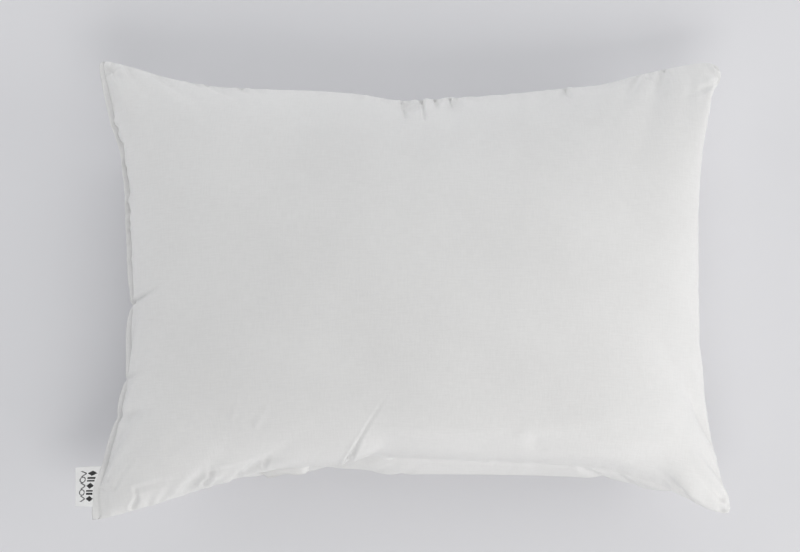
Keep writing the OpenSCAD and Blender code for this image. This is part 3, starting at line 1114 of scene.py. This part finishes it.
def overlock():
    """Loops of thread round the raw edge of the allowance, six steps to a loop."""
    step, spare, raw_edge, half_width, half_height = 0.5, 8, -9.6, 1.0, 0.85
    place, o, u, at = along(SEWN, step, spare)
    turn = 2 * math.pi * np.arange(len(at)) / 6
    across = raw_edge + half_width * np.cos(turn)
    path = place + o * across[:, None] + u * (half_height * np.sin(turn))[:, None]
    thread("overlock_loops", "overlock_thread", path, 0.15, 5)


overlock()

# ---- filling


def between_lines(a, axis, lines, at):
    """The array at other places along one axis, read between its grid lines."""
    a = np.moveaxis(a, axis, 0)
    k = np.clip(np.searchsorted(lines, at) - 1, 0, len(lines) - 2)
    f = ((at - lines[k]) / (lines[k + 1] - lines[k])).reshape((-1,) + (1,) * (a.ndim - 1))
    return np.moveaxis((1 - f) * a[k] + f * a[k + 1], 0, axis)


def make_filling():
    """The filling as one lumpy body, a little inside the panels and short of the seams."""
    nx, ny, short = 84, 60, 15
    x, y = np.linspace(short, CUT_L - short, nx + 1), np.linspace(short, CUT_W - short, ny + 1)
    halves = between_lines(between_lines(np.stack([FRONT, BACK]), 1, LINES_X, x), 2, LINES_Y, y)
    n = unit(normals_of(halves))
    room = np.linalg.norm(halves[0] - halves[1], axis=2)
    clumps = np.stack([np.abs(smooth_noise((nx + 1, ny + 1), 2.2, 71 + k)) for k in range(2)])
    depth = np.minimum(3.0 + 2.4 * clumps, 0.3 * room)
    halves = halves - n * depth[..., None]
    o = mesh_object("fibre_filling", halves.reshape(-1, 3), closed_quads(nx, ny))
    stand_in(o, ["filling"], "fibre_filling", FIBRE)
    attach(o, "casing")


make_filling()

# ---- labels

# The size label's width, how far it stands out, and how far it is sewn in
LABEL_W, LABEL_OUT, TAB_IN = 40.0, 20.0, 4.5
# Half the ribbon's thickness
RIBBON_HALF = 0.15
LABEL_Y = sum(corner[1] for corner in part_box("size_label")) / 2 / MM


def label_base(y):
    """The seam's place, out and up where the closing side passes each y."""
    place, out, up = CLOSING
    return [read_off(y, place[:, 1], a) for a in (place, out, up)]


def motif(out, across):
    """Which yarn shows at a place on the label: 0 ground, 1 dark, 2 grey."""
    yarns = np.zeros(np.broadcast(out, across).shape, int)
    step, dark_row, grey_row = 6.2, 4.6, 12.8
    k = np.round((across - 0.5 * LABEL_W) / step)
    t = across - 0.5 * LABEL_W - k * step
    inside = np.abs(k) <= 2
    a = out - dark_row
    lozenge = (np.abs(a) / 4.0 + np.abs(t) / 2.9 < 1) & (k % 2 == 0)
    bars = (np.abs(a) < 3.6) & (np.abs(np.abs(t) - 1.3) < 0.8) & (k % 2 != 0)
    yarns[inside & (lozenge | bars)] = 1
    a = out - grey_row
    away = np.sqrt(a**2 + t**2)
    ring = (np.abs(away - 2.6) < 0.5) & (k % 2 != 0)
    chevron = (np.abs(np.abs(t) - 0.62 * (a + 3.4)) < 0.6) & (np.abs(a) < 3.4) & (k % 2 == 0)
    yarns[inside & (ring | chevron)] = 2
    return yarns


def make_label(name, nodes, slot_name, path, width, middle, materials, pattern, columns):
    """A ribbon swept along the seam: path gives steps out of the flange edge and up, with thickness."""
    path = np.array(path, float)
    y = np.linspace(middle - width / 2, middle + width / 2, columns + 1)
    place, out, up = label_base(y)
    mid = label_base(np.array([middle]))
    ahead = place[-1] - place[0]
    level = unit(np.array([0.0, 1.0, ahead[2] / ahead[1]]))
    straight = np.array([-1.0, 0.0, 0.0])
    above = np.cross(level, straight)
    above *= np.sign(above[2])
    tip = mid[0][0] + straight * FLANGE
    rows = []
    for a, b in path:
        follow = place + out * (FLANGE + a) + up * b
        square = (tip + straight * a)[None] + level[None] * (y - middle)[:, None] + above[None] * b
        blend = max(0.0, min(1.0, a / LABEL_OUT)) ** 0.5
        rows.append((1 - blend) * follow + blend * square)
    sheet_points = np.stack(rows)
    n = unit(np.cross(np.gradient(sheet_points, axis=0), np.gradient(sheet_points, axis=1)))
    both = np.stack([sheet_points + n * RIBBON_HALF, sheet_points - n * RIBBON_HALF])
    r, c = len(path) - 1, columns
    cut = np.stack([np.repeat(run_of(path), c + 1), np.tile(y - y[0], r + 1)], axis=1)
    o = mesh_object(name, both.reshape(-1, 3), closed_quads(r, c), np.vstack([cut, cut]))
    stand_in(o, nodes, slot_name, *materials)
    if pattern:
        a = (path[:-1, 0] + path[1:, 0]) / 2
        t = (y[:-1] + y[1:]) / 2 - y[0]
        yarns = motif(a[:, None], LABEL_W - t[None, :])
        yarns[np.gradient(path[:, 0])[:-1] <= 0.05] = 0
        index = np.zeros(len(o.data.polygons), int)
        index[:r * c] = yarns.ravel()
        index[r * c:2 * r * c] = yarns.ravel()
        o.data.polygons.foreach_set("material_index", index)
    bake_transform(o)


def folded_path():
    """Out from inside the seam along the upper ply, round the fold and back along the lower ply."""
    droop, turned_at = 0.9, LABEL_OUT - 0.8

    def ply(out, side, belly):
        share = np.clip(out / LABEL_OUT, 0, 1)
        apart = 0.17 + belly * np.sin(math.pi * share) ** 2 + 0.35 * share
        return list(zip(out, side * apart - droop * share**2))

    upper = ply(np.arange(-TAB_IN, turned_at, 0.4), 1, 0.75)
    lower = ply(np.arange(turned_at, -TAB_IN, -0.8), -1, 0.375)
    fold = [(LABEL_OUT - 0.75 + 0.6 * math.sin(t), 0.468 * math.cos(t) - droop)
            for t in np.linspace(0.2, 2.94, 8)]
    return upper + fold + lower


def care_path():
    """Out from inside the seam, close under the size label."""
    out = np.arange(-TAB_IN, LABEL_OUT - 4.0, 0.8)
    share = np.clip(out / LABEL_OUT, 0, 1)
    return list(zip(out, -0.5 - 1.4 * share - 2.2 * share**2))


make_label("size_label_ribbon", ["size_label", "size_label_tab"], "label_ribbon", folded_path(), LABEL_W,
           LABEL_Y, [RIBBON, DARK_YARN, GREY_YARN], True, 80)
make_label("care_label_ribbon", ["care_label", "care_label_tab"], "care_ribbon", care_path(), LABEL_W - 4,
           LABEL_Y, [SATIN], False, 36)
